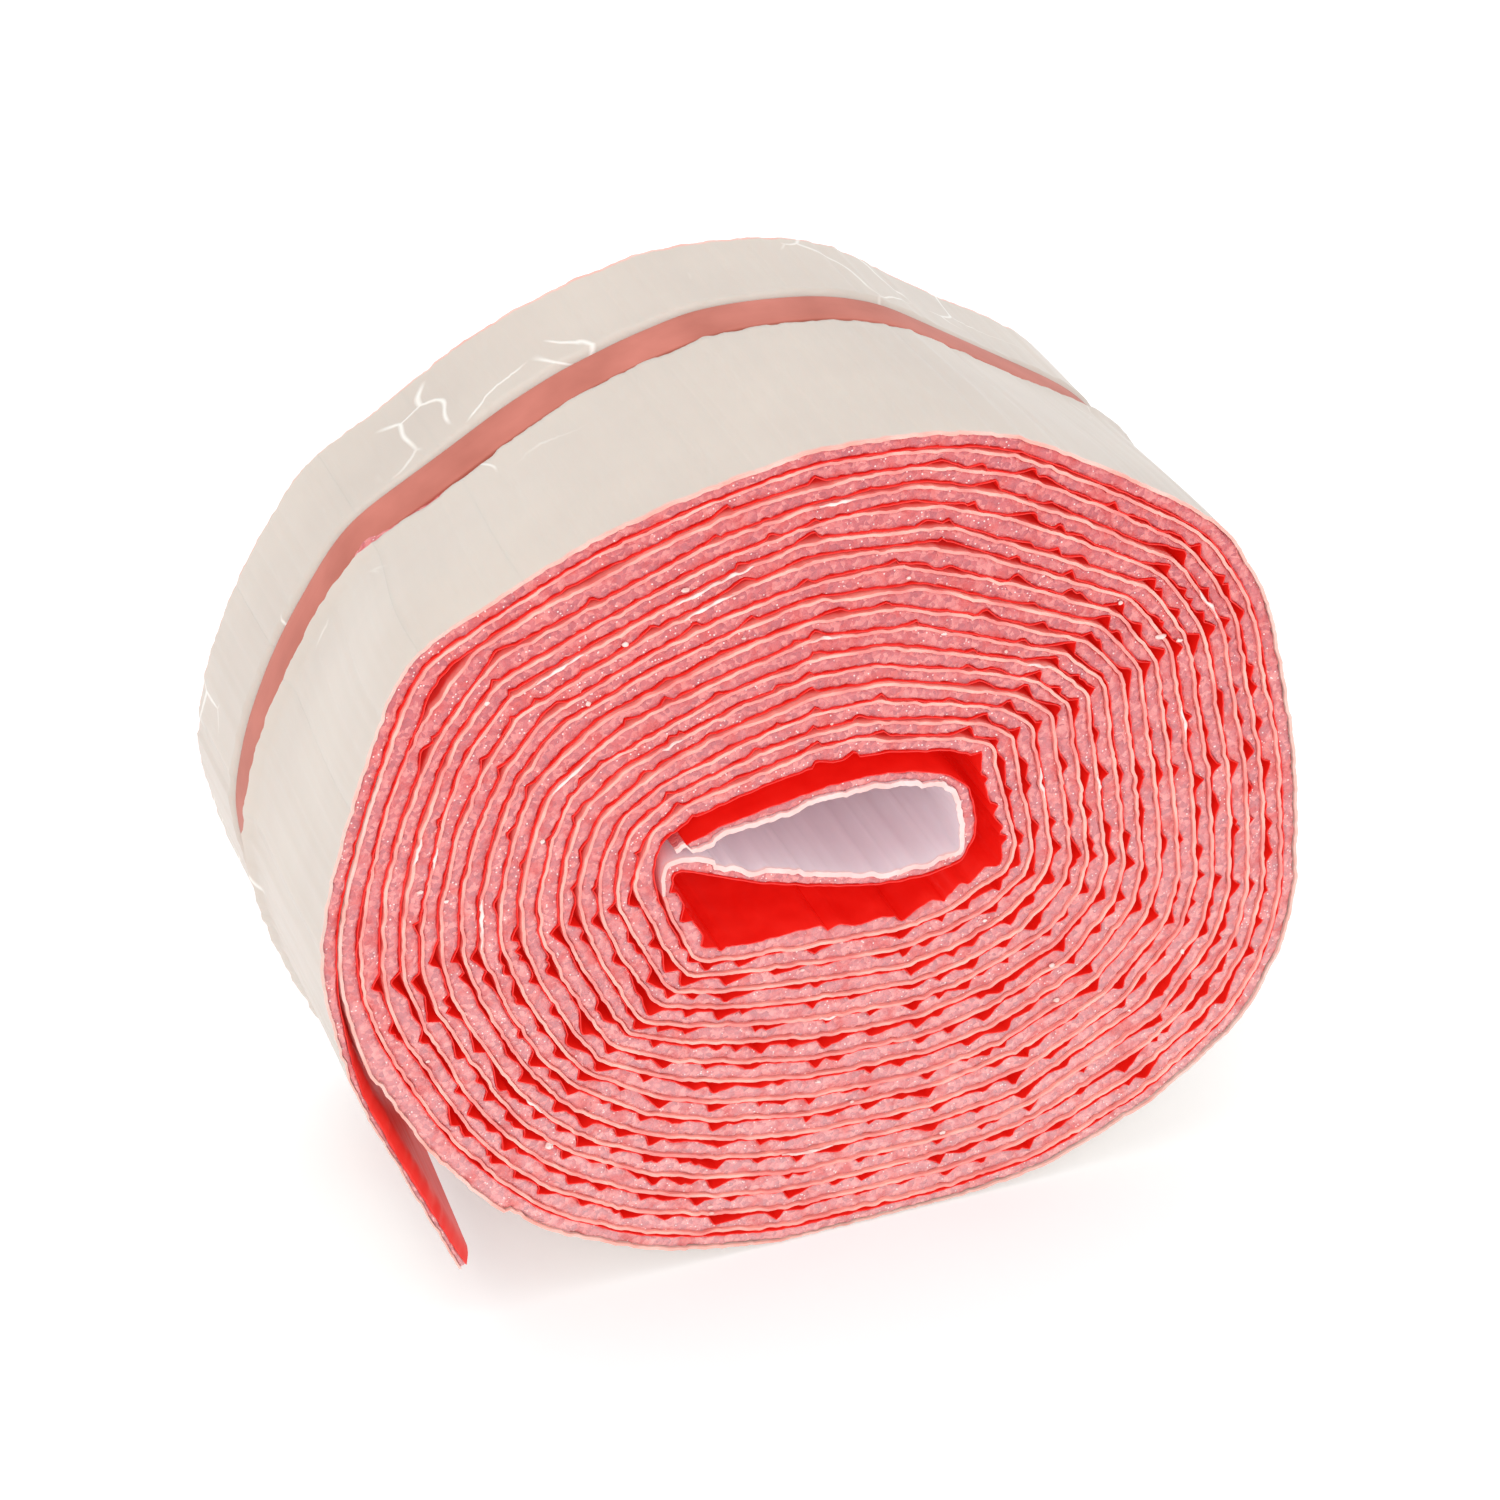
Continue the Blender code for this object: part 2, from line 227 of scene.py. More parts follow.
rounding = (strip["roundNear"] / step, strip["roundFar"] / step)
red = smooth(smoothMore(redBase, *rounding), strip["redRound"] / step)
white = smooth(smoothMore(whiteBase, *rounding), strip["whiteRound"] / step)
normal = white - red
thick = np.hypot(*normal.T)
normal /= thick[:, None]
inEye = np.clip((strip["eyeEnd"] - s) / (4 * mm), 0, 1)
film = strip["whiteFilm"] + (strip["eyeFilm"] - strip["whiteFilm"]) * inEye

notches = {                     # places where the red side folds up, lengths in mm
    "depth": (0.80, 1.35),      # at a crease
    "between": 0.75,            # share of that depth halfway between two creases
    "calm": 0.55,               # and at the top and the upper left
    "rise": (0.45, 0.9),        # the steep side's length, in depths
    "fall": (0.8, 3.2),         # and the long side's
    "slitEvery": (4.0, 15.0),
    "slitDepth": (0.35, 0.85),
    "slitLength": (1.2, 5.0),
    "most": 0.64,               # share of the strip's thickness
    "kept": 1.9,                # thickness kept where the band presses the outermost turn in
}
calmTo = 14 * mm                # the calm part ends this far right of the middle

# the inner side is a little uneven, and it folds up into a notch at a crease
red += normal * (0.10 * mm * wobble(s, 1.1 * mm, 3))[:, None]
rng = random.Random(strip["seed"])
notch = np.zeros(count)
between = [int(0.5 * (a + b)) for a, b in zip(creases, creases[1:]) if s[b] - s[a] > 6 * mm]
for i in sorted(creases + between):
    toRight, toTop = redBase[i] - middle
    calm = toTop > 0 and toRight < calmTo      # few notches at the top and the upper left
    sharp = i in creases
    if rng.random() < (0.62 if calm else 0.10) + (0.0 if sharp else 0.30):
        continue
    depth = rng.uniform(*notches["depth"]) * (1.0 if sharp else notches["between"]) * mm
    if calm:
        depth *= notches["calm"]
    rise, fall = depth * rng.uniform(*notches["rise"]), depth * rng.uniform(*notches["fall"])
    if rng.random() < 0.35:
        rise, fall = fall, rise
    away = s - s[i] - rng.uniform(-0.3, 0.3) * mm
    shape = np.clip(np.where(away < 0, 1 + away / rise, 1 - away / fall), 0, 1) ** 1.15
    notch = np.maximum(notch, depth * shape)
slitAt = 90 * mm
while slitAt < hinges[0]:
    # slits and nicks between the creases
    slitAt += rng.uniform(*notches["slitEvery"]) * mm
    i = min(int(slitAt / step), count - 1)
    toRight, toTop = redBase[i] - middle
    if toTop > 0 and toRight < calmTo and rng.random() < 0.8:
        continue
    depth, length = rng.uniform(*notches["slitDepth"]) * mm, rng.uniform(*notches["slitLength"]) * mm
    tip = rng.uniform(0.15, 0.85)
    past = s - s[i]
    shape = np.clip(np.minimum(past / (tip * length), 1 - (past - tip * length) / ((1 - tip) * length)), 0, 1)
    notch = np.maximum(notch, depth * shape)
notch = np.minimum(notch, notches["most"] * thick)
bare = s > lengthRun[bodyStart[1]] - strip["lastTurn"]      # the band's groove comes close to the red side
notch[bare] = np.minimum(notch[bare], np.clip(thick[bare] - notches["kept"] * mm, 0, None))
notch *= np.interp(s, [hinges[0] - 6 * mm, hinges[0], hinges[1], hinges[2]], [1, 0.6, 0.4, 0])

# the foam spreads outwards until it meets the next turn
ribbon = [(x, y, z) for x, z in red for y in (-1.0, 1.0)]
quads = [(2 * i, 2 * i + 1, 2 * i + 3, 2 * i + 2) for i in range(count - 1)]
nextTurn = BVHTree.FromPolygons(ribbon, quads)
gap = np.full(count, np.nan)
under = np.zeros(count)         # which stretch of the strip lies over each column
backUp = 0.8 * mm               # rays start this far inside the strip
for i in range(count):
    along = Vector((normal[i, 0], 0, normal[i, 1]))
    place = Vector((white[i, 0], 0, white[i, 1])) - along * backUp
    hit = nextTurn.ray_cast(place, along, 6 * mm)
    if hit[0] is not None:
        gap[i] = hit[3] - backUp
        under[i] = s[min(hit[2], count - 1)]
free = np.isnan(gap)
gap[free] = strip["outerFill"] + strip["leastGap"]
scallop = 0.17 * mm * wobble(s, 1.15 * mm, 5) + 0.05 * mm * wobble(s, 0.7 * mm, 6)
slack = 0.10 * mm + np.clip(wobble(s, 7 * mm, 8), 0, 1) * 0.30 * mm     # stretches that don't quite touch
# under the tail's start the turn below spreads right up to it
most = strip["mostFill"] + np.interp(under, [hinges[0], hinges[1], hinges[3], hinges[4]], [0, 2.2, 2.2, 0]) * mm
slack = np.where(under > hinges[0], 0.02 * mm, slack)
fill = np.clip(smooth(gap[:, None], 1.2)[:, 0] - slack, 0, most) + scallop
fill = np.minimum(fill, gap - strip["leastGap"])
fill += inEye * 0.26 * mm * wobble(s, 1.0 * mm, 9)
white += normal * fill[:, None]
red += normal * notch[:, None]
print("filled", int((~free).sum()), "columns, mean gap", round(float(gap[~free].mean()) * 1000, 2), "mm")


# ---- plies: the strip has thousands of columns, so each ply is lofted from arrays of points

groove = {
    "middle": 7.0 * mm,
    "width": 6.3 * mm,
    "lip": 0.75 * mm,           # width of its sloping side
    "depth": 1.15 * mm,
    "bulge": 0.85 * mm,         # how far the skin swells in front of the band, where it leans away
}
skin = {                        # heights of the uncovered film's relief
    "nubs": 0.55 * mm,          # small bulges along the band's near edge
    "puckers": 0.10 * mm,
    "swell": 0.16 * mm,
    "fine": 0.035 * mm,
}
tail = {
    "pinch": 1.15 * mm,         # how far the red side slopes at the front edge
    "pinchWidth": 2.2 * mm,
    "flare": 1.6 * mm,          # how far the tip stands off at the front
}
telescope = strip["telescope"] * wobble(s, 46 * mm, 21)
cutWave = 0.12 * mm * wobble(s, 0.9 * mm, 22)


squeeze = [                     # the taut band draws the roll's corners in, and the back half stays drawn in
    {"towards": 135, "spread": 25, "amount": 4.0 * mm},
    {"towards": 52, "spread": 17, "amount": 1.6 * mm},
]


def drawnIn(x, y, z):
    # places in the roll after the squeeze; outer turns move most, so no turn overtakes the next
    dx, dz = x - middle[0], z - middle[1]
    angle = np.degrees(np.arctan2(dz, dx))
    share = np.clip(np.hypot(dx, dz) / (52 * mm), 0, 1.1) ** 3
    depth = np.clip((y + 21 * mm) / (27 * mm), 0, 1)
    depth = depth * depth * (3 - 2 * depth)
    corners = sum(c["amount"] * np.exp(-((angle - c["towards"]) / c["spread"]) ** 2) for c in squeeze)
    pull = corners * share * depth
    reach = np.maximum(np.hypot(dx, dz), 1e-6)
    return x - dx / reach * pull, z - dz / reach * pull


def pressed(y):
    # how far the rubber band presses the skin in, 0 to 1
    side = (np.abs(y - groove["middle"]) - groove["width"] / 2) / groove["lip"]
    side = np.clip(side, 0, 1)
    return 1 - side * side * (3 - 2 * side)


def skinShape(run, y):
    # outward displacement of the uncovered skin at places along the strip and across it
    near = np.exp(-np.clip(np.abs(y - groove["middle"]) - 3.6 * mm, 0, None) / (1.6 * mm))
    front = np.clip(1 - (groove["middle"] - 3 * mm - y) / (3 * mm), 0, 1) * (y < groove["middle"])
    nubs = np.clip(ripple(run / (2.3 * mm), y * 0 + 3, 31) - 0.25, 0, 1) * skin["nubs"] * near * front
    puckers = ripple(run / (1.7 * mm), y / (6 * mm), 32) * skin["puckers"] * near
    swell = ripple(run / (17 * mm), y / (13 * mm), 33) * skin["swell"]
    fine = ripple(run / (3.1 * mm), y / (4.2 * mm), 34) * skin["fine"]
    leaning = np.interp(run, s, np.clip((0.95 - normal[:, 1]) / 0.55, 0, 1))
    beside = y - groove["middle"] + groove["width"] / 2 + 0.9 * mm
    bulge = groove["bulge"] * leaning * np.exp(-(beside / (1.0 * mm)) ** 2)
    return -groove["depth"] * pressed(y) + (nubs + bulge) * (1 - pressed(y)) + puckers + swell + fine


def tailPinch(run, y):
    # the tail's front edge is crushed thin, so its red side slopes to the front
    grown = np.interp(run, [hinges[3] - 3 * mm, hinges[3] + 3 * mm, hinges[4], hinges[5], s[-1]],
                      [0, 0.35, 0.9, 1.0, 0.75])
    return grown * tail["pinch"] * np.clip(1 - (y + strip["width"] / 2) / tail["pinchWidth"], 0, 1) ** 1.3


def tailFlare(run, y):
    # the tail stands off the roll at the front, where the rubber band doesn't hold it
    along = np.clip((run - hinges[3]) / (s[-1] - hinges[3]), 0, 1) ** 1.5
    side = np.clip((groove["middle"] - 3 * mm - y) / (29 * mm), -0.35, 1)
    return tail["flare"] * along * side


def eyeShape(run, y):
    # long folds across the film inside the eye, deeper round its tight end
    tight = np.exp(-((run - 40 * mm) / (9 * mm)) ** 2)
    folds = ripple(run / (4.0 * mm), y / (22 * mm), 41) * 0.32
    folds = folds + ripple(run / (1.6 * mm), y / (9 * mm), 42) * 0.10
    return (folds + tight * ripple(run / (2.1 * mm), y / (26 * mm), 43) * 0.75) * mm


def weightOf(ply, v):
    # where a point lies through the strip's thickness, 0 on the red side and 1 on the skin
    low, high = {"facing": (0.0, 0.04), "foam": (0.04, 0.87), "backing": (0.87, 1.0)}[ply]
    return low + (high - low) * v


def plyPiece(name, ply, first, last, stations, shape=None):
    # closed solid of one ply between two columns of the run
    index = np.arange(first, last + 1)
    run, n = s[index], normal[index]
    inner = {"facing": red[index], "foam": red[index] + n * strip["redFilm"],
             "backing": white[index] - n * film[index, None]}[ply]
    outer = {"facing": red[index] + n * (strip["redFilm"] - 0.01 * mm),
             "foam": white[index] - n * (film[index, None] + 0.01 * mm), "backing": white[index]}[ply]
    inward = {"facing": 0.0, "foam": 0.0, "backing": 1.0}[ply]
    outward = {"facing": 0.0, "foam": 1.0, "backing": 1.0}[ply]
    between = {"facing": 0, "foam": 4, "backing": 1}[ply]
    proud = {"facing": 0.05, "foam": -0.10, "backing": 0.16}[ply] * mm
    half = strip["width"] / 2
    shares = [k / (between + 1) for k in range(1, between + 1)]
    ring = [(0.0, y) for y in stations[::-1]] + [(v, stations[0]) for v in shares]
    ring += [(1.0, y) for y in stations] + [(v, stations[-1]) for v in shares[::-1]]
    points = np.zeros((len(index), len(ring), 3))
    for k, (v, y) in enumerate(ring):
        xz = inner * (1 - v) + outer * v
        weight = inward * (1 - v) + outward * v
        across = np.full(len(index), y)
        if shape is not None:
            xz = xz + n * (shape(run, across) * weight)[:, None]
        xz = xz + n * (tailFlare(run, across) + tailPinch(run, across) * (1 - weightOf(ply, v)))[:, None]
        deep = abs(y) / half
        edge = np.clip((deep - 0.9) / 0.1, 0, 1)
        lip = edge * (proud + cutWave[index] + telescope[index]) * np.sign(-y)
        if abs(abs(y) - half) < 1e-7:
            rough = {"facing": 0.02, "foam": 0.13, "backing": 0.07}[ply] * mm
            lip = lip + ripple(run / (0.55 * mm), np.full(len(index), v * 4.2 + 9), 51) * rough * np.sign(-y)
            if ply == "foam" and v in (0.0, 1.0):
                lip = lip - 0.16 * mm * np.sign(-y)
        points[:, k, 1] = y - lip
        points[:, k, 0], points[:, k, 2] = drawnIn(xz[:, 0], points[:, k, 1], xz[:, 1])
        low = points[:, k, 2] < strip["sole"]      # flattened where it rests
        points[low, k, 2] = strip["sole"] * np.exp(points[low, k, 2] / strip["sole"] - 1)
    rows, cols = len(index), len(ring)
    number = np.arange(rows * cols).reshape(rows, cols)
    nextCol = np.roll(number, -1, axis=1)
    faces = np.stack([number[:-1], nextCol[:-1], nextCol[1:], number[1:]], -1).reshape(-1, 4).tolist()
    m = len(stations)
    for row, flip in ((0, False), (rows - 1, True)):
        base = row * cols
        ladder = [[m - 2, *range(m - 1, m + between + 1), m + between + 1]]
        for k in range(1, m - 2):
            ladder.append([m - 2 - k, m - 1 - k, m + between + k, m + between + k + 1])
        farSide = range(2 * m + between, 2 * m + 2 * between)
        ladder.append([0, 1, m + between + m - 2, m + between + m - 1, *farSide])
        for face in ladder:
            face = [base + k for k in face]
            faces.append(face[::-1] if flip else face)
    mesh = bpy.data.meshes.new(name)
    mesh.from_pydata(points.reshape(-1, 3).tolist(), [], faces)
    mesh.validate()
    piece = bpy.data.objects.new(name, mesh)
    bpy.context.scene.collection.objects.link(piece)
    bpy.ops.object.select_all(action="DESELECT")
    piece.select_set(True)
    bpy.context.view_layer.objects.active = piece
    bpy.ops.object.mode_set(mode="EDIT")
    bpy.ops.mesh.select_all(action="SELECT")
    bpy.ops.mesh.normals_make_consistent(inside=False)
    bpy.ops.object.mode_set(mode="OBJECT")
    bpy.ops.object.shade_smooth_by_angle(angle=math.radians(55))
    return piece


# ---- materials

def foamMaterial():
    # expanded polyethylene, cut by a blade: a grainy face of small cells, dusty pink with greyer cells, redder
    # clumps and bright specks where a cell wall catches the light
    material, tree, surface, place = newMaterial("expandedPolyethyleneFoam")
    look = {"cell": 0.50, "clump": 2.2, "speck": 0.42}     # sizes in mm
    wander = addNode(tree, "ShaderNodeTexNoise", {"Vector": place}, Scale=1400.0, Detail=2.0)
    bent = addNode(tree, "ShaderNodeVectorMath", {1: wander.outputs["Color"], 2: place},
                   operation="MULTIPLY_ADD")
    bent.inputs[0].default_value = (0.0005, 0.0005, 0.0005)
    cells = addNode(tree, "ShaderNodeTexVoronoi", {"Vector": bent.outputs[0]}, Scale=1000 / look["cell"])
    walls = addNode(tree, "ShaderNodeTexVoronoi", {"Vector": bent.outputs[0]}, Scale=1000 / look["cell"],
                    feature="DISTANCE_TO_EDGE")
    clumps = addNode(tree, "ShaderNodeTexNoise", {"Vector": place}, Scale=1000 / look["clump"], Detail=4.0)
    specks = addNode(tree, "ShaderNodeTexVoronoi", {"Vector": place}, Scale=1000 / look["speck"])
    split = addNode(tree, "ShaderNodeSeparateXYZ", {"Vector": place})
    # painted light: the foam's pink runs paler towards the bottom and redder towards the top, by height;
    # painted shading for light that comes through the white skin above and bounces up off the floor below
    height = addNode(tree, "ShaderNodeMapRange", {"Value": split.outputs["Z"]}, From_Min=0.010, From_Max=0.080)
    groundWithPaintedShade = addNode(tree, "ShaderNodeMix", {0: height.outputs[0]}, data_type="RGBA")
    groundWithPaintedShade.inputs[6].default_value = hexColour("F2BBBB")
    groundWithPaintedShade.inputs[7].default_value = hexColour("D25E62")
    pick = addNode(tree, "ShaderNodeSeparateColor", {"Color": cells.outputs["Color"]})
    cellTone = addNode(tree, "ShaderNodeValToRGB", {"Fac": pick.outputs[0]})
    cellTone.color_ramp.elements[0].color = hexColour("B4717A")
    cellTone.color_ramp.elements[1].color = hexColour("FFB4AE")
    middleTone = cellTone.color_ramp.elements.new(0.5)
    middleTone.color = hexColour("DC8084")
    toned = addNode(tree, "ShaderNodeMix", {6: groundWithPaintedShade.outputs[2], 7: cellTone.outputs[0]}, data_type="RGBA")
    toned.inputs[0].default_value = 0.55
    patchFade = addNode(tree, "ShaderNodeMapRange", {"Value": clumps.outputs["Fac"]}, From_Min=0.50,
                        From_Max=0.68, To_Max=0.55)
    patches = addNode(tree, "ShaderNodeMix", {0: patchFade.outputs[0], 6: toned.outputs[2]}, data_type="RGBA")
    patches.inputs[7].default_value = hexColour("DC5450")
    isSpeck = addNode(tree, "ShaderNodeMapRange", {"Value": specks.outputs["Distance"]}, From_Min=0.28,
                      From_Max=0.18)
    chosen = addNode(tree, "ShaderNodeSeparateColor", {"Color": specks.outputs["Color"]})
    rare = addNode(tree, "ShaderNodeMath", {0: chosen.outputs[1]}, operation="GREATER_THAN")
    rare.inputs[1].default_value = 0.80
    speckMask = addNode(tree, "ShaderNodeMath", {0: isSpeck.outputs[0], 1: rare.outputs[0]},
                        operation="MULTIPLY")
    final = addNode(tree, "ShaderNodeMix", {0: speckMask.outputs[0], 6: patches.outputs[2]}, data_type="RGBA")
    final.inputs[7].default_value = hexColour("FFE3DF")
    tree.links.new(final.outputs[2], surface.inputs["Base Color"])
    rough = addNode(tree, "ShaderNodeMapRange", {"Value": walls.outputs["Distance"]}, From_Max=0.4, To_Min=0.35,
                    To_Max=0.65)
    tree.links.new(rough.outputs[0], surface.inputs["Roughness"])
    bump = addNode(tree, "ShaderNodeBump", {"Height": walls.outputs["Distance"]}, Strength=0.8)
    bump.inputs["Distance"].default_value = 0.25 * mm
    tree.links.new(bump.outputs[0], surface.inputs["Normal"])
    surface.inputs["IOR"].default_value = 1.49
    surface.inputs["Subsurface Weight"].default_value = 0.12
    surface.inputs["Subsurface Radius"].default_value = (1.0, 0.35, 0.3)
    surface.inputs["Subsurface Scale"].default_value = 0.8 * mm
    return material


def redFilmMaterial():
    # coloured polyethylene film, blown: deep red with a soft gloss and faint creases
    material, tree, surface, place = newMaterial("redPolyethyleneFilm")
    tint = addNode(tree, "ShaderNodeTexNoise", {"Vector": place}, Scale=260.0, Detail=3.0)
    shade = addNode(tree, "ShaderNodeValToRGB", {"Fac": tint.outputs["Fac"]})
    shade.color_ramp.elements[0].position = 0.35
    shade.color_ramp.elements[0].color = hexColour("DE1A12")
    shade.color_ramp.elements[1].position = 0.7
    shade.color_ramp.elements[1].color = hexColour("EA2C22")
    tree.links.new(shade.outputs[0], surface.inputs["Base Color"])
    surface.inputs["Roughness"].default_value = 0.38
    surface.inputs["IOR"].default_value = 1.51
    surface.inputs["Emission Color"].default_value = hexColour("F01A10")     # light that comes through the foam
    surface.inputs["Emission Strength"].default_value = 0.17
    bump = addNode(tree, "ShaderNodeBump", {"Height": tint.outputs["Fac"]}, Strength=0.3)
    bump.inputs["Distance"].default_value = 0.1 * mm
    tree.links.new(bump.outputs[0], surface.inputs["Normal"])
    return material


def whiteFilmMaterial(name, rimStart, rimLow, rimColour, lowColour, highColour, glowColour, glow):
    # thin white polyethylene film: warm white skin with faint wrinkles, its cut edge stained pink by the foam
    material, tree, surface, place = newMaterial(name)
    split = addNode(tree, "ShaderNodeSeparateXYZ", {"Vector": place})
    depth = addNode(tree, "ShaderNodeMath", {0: split.outputs["Y"]}, operation="ABSOLUTE")
    rim = addNode(tree, "ShaderNodeMapRange", {"Value": depth.outputs[0]}, From_Min=rimStart,
                  From_Max=rimStart + 0.0005)
    mottle = addNode(tree, "ShaderNodeTexNoise", {"Vector": place}, Scale=45.0, Detail=4.0)
    skin = addNode(tree, "ShaderNodeValToRGB", {"Fac": mottle.outputs["Fac"]})
    skin.color_ramp.elements[0].position = 0.3
    skin.color_ramp.elements[0].color = hexColour(lowColour)
    skin.color_ramp.elements[1].position = 0.75
    skin.color_ramp.elements[1].color = hexColour(highColour)
    stain = addNode(tree, "ShaderNodeTexNoise", {"Vector": place}, Scale=230.0, Detail=3.0)
    cut = addNode(tree, "ShaderNodeValToRGB", {"Fac": stain.outputs["Fac"]})
    cut.color_ramp.elements[0].position = 0.35
    cut.color_ramp.elements[0].color = hexColour(rimLow)
    cut.color_ramp.elements[1].position = 0.65
    cut.color_ramp.elements[1].color = hexColour(rimColour)
    edge = addNode(tree, "ShaderNodeMix", {0: rim.outputs[0], 6: skin.outputs[0], 7: cut.outputs[0]},
                   data_type="RGBA")
    wrinkles = addNode(tree, "ShaderNodeTexNoise", {"Vector": place}, Scale=300.0, Detail=4.0)
    bump = addNode(tree, "ShaderNodeBump", {"Height": wrinkles.outputs["Fac"]}, Strength=0.16)
    bump.inputs["Distance"].default_value = 0.15 * mm
    # a few thin curved creases beside the rubber band: a bump, and a lighter colour along them that is a
    # painted highlight
    bend = addNode(tree, "ShaderNodeTexNoise", {"Vector": place}, Scale=90.0, Detail=1.0)
    bent = addNode(tree, "ShaderNodeVectorMath", {1: bend.outputs["Color"], 2: place},
                   operation="MULTIPLY_ADD")
    bent.inputs[0].default_value = (0.008, 0.008, 0.008)
    net = addNode(tree, "ShaderNodeTexVoronoi", {"Vector": bent.outputs[0]}, Scale=80.0,
                  feature="DISTANCE_TO_EDGE")
    line = addNode(tree, "ShaderNodeMapRange", {"Value": net.outputs["Distance"]}, From_Min=0.022,
                   From_Max=0.004)
    where = addNode(tree, "ShaderNodeTexNoise", {"Vector": place}, Scale=70.0, Detail=1.0)
    some = addNode(tree, "ShaderNodeMapRange", {"Value": where.outputs["Fac"]}, From_Min=0.54, From_Max=0.60)
    broken = addNode(tree, "ShaderNodeMath", {0: line.outputs[0], 1: some.outputs[0]}, operation="MULTIPLY")
    far = addNode(tree, "ShaderNodeMapRange", {"Value": split.outputs["Y"]}, From_Min=-0.004, From_Max=0.002)
    crease = addNode(tree, "ShaderNodeMath", {0: broken.outputs[0], 1: far.outputs[0]}, operation="MULTIPLY")
    ridge = addNode(tree, "ShaderNodeBump", {"Height": crease.outputs[0], "Normal": bump.outputs[0]},
                    Strength=0.3)
    ridge.inputs["Distance"].default_value = 0.15 * mm
    # painted highlight: the creases are painted lighter where they would glint
    glint = addNode(tree, "ShaderNodeMix", {0: crease.outputs[0], 6: edge.outputs[2]}, data_type="RGBA")
    glint.inputs[7].default_value = hexColour("F0E9E2")
    tree.links.new(glint.outputs[2], surface.inputs["Base Color"])
    tree.links.new(ridge.outputs[0], surface.inputs["Normal"])
    surface.inputs["Roughness"].default_value = 0.36
    surface.inputs["IOR"].default_value = 1.51
    surface.inputs["Emission Color"].default_value = hexColour(glowColour)
    surface.inputs["Emission Strength"].default_value = glow
    surface.inputs["Subsurface Weight"].default_value = 0.2
    surface.inputs["Subsurface Radius"].default_value = (1.0, 0.6, 0.5)
    surface.inputs["Subsurface Scale"].default_value = 0.8 * mm
    return material


def rubberMaterial():
    # unfilled natural rubber, cut from an extruded tube: salmon brown, matt, with fine lines along its length
    material, tree, surface, place = newMaterial("naturalRubber")
    tone = addNode(tree, "ShaderNodeTexNoise", {"Vector": place}, Scale=120.0, Detail=3.0)
    shade = addNode(tree, "ShaderNodeValToRGB", {"Fac": tone.outputs["Fac"]})
    shade.color_ramp.elements[0].position = 0.3
    shade.color_ramp.elements[0].color = hexColour("B4604F")
    shade.color_ramp.elements[1].position = 0.75
    shade.color_ramp.elements[1].color = hexColour("CF7868")
    tree.links.new(shade.outputs[0], surface.inputs["Base Color"])
    drawn = addNode(tree, "ShaderNodeMapping", {"Vector": place}, Scale=(0.15, 3.0, 0.15))
    lines = addNode(tree, "ShaderNodeTexNoise", {"Vector": drawn.outputs[0]}, Scale=900.0, Detail=2.0)
    bump = addNode(tree, "ShaderNodeBump", {"Height": lines.outputs["Fac"]}, Strength=0.25)
    bump.inputs["Distance"].default_value = 0.05 * mm
    tree.links.new(bump.outputs[0], surface.inputs["Normal"])
    surface.inputs["Roughness"].default_value = 0.55
    surface.inputs["IOR"].default_value = 1.52
    return material


finish = {"foam": foamMaterial(), "facing": redFilmMaterial(),
          "backing": whiteFilmMaterial("whiteFilmSkin", 0.0248, "EFA396", "F8C4B9", "CCC0B6", "D6CABF",
                                       "FFFFFF", 0.0)}
# between the turns the white film is painted red and given a faint red glow: a painted reflection of the red
# film facing it across the narrow gap
coveredFilm = whiteFilmMaterial("whiteFilmBetweenTurns", 0.0240, "E58A84", "FBB9AC", "E0504A", "E8625A",
                                "F02A20", 0.08)
# inside the eye the white film is painted pinkish lilac and given a faint pink glow: a painted reflection of
# the red and pink walls round it, and painted light that lifts its shade
eyeFilm = whiteFilmMaterial("whiteFilmInTheEye", 0.0246, "F1BDB6", "F8D6D0", "EDD6DC", "F7E9ED",
                            "F0C8D4", 0.03)
rubber = rubberMaterial()
print("materials:", len(bpy.data.materials))


# ---- the strip's plies

# places across the width, close together near the cut edges and the band
hidden = [y * mm for y in (-25, -24.2, -20, 20, 24.2, 25)]
filmHidden = [y * mm for y in (-25, -24.2, 0, 24.2, 25)]
eyeStations = [y * mm for y in (-25, -24.5, -23.6, *np.linspace(-22, 22, 23), 23.6, 24.5, 25)]
skinStations = [y * mm for y in (-25, -24.6, -24.1, -23.5, *np.arange(-22.5, 1, 1.5), 1.6, 2.4, 3.0, 3.4, 3.8,
                                 4.2, 5.5, 7.0, 8.5, 9.8, 10.2, 10.6, 11.0, 11.6, 12.6, 13.8, 15.2, 16.8, 18.4,
                                 20.0, 21.6, 22.9, 23.8, 24.5, 25)]
uncovered = np.clip(smooth(free.astype(float)[:, None], 4)[:, 0], 0, 1)


def onSkin(run, y):
    return skinShape(run, y) * np.interp(run, s, uncovered)


def column(length):
    return int(round(length / step))


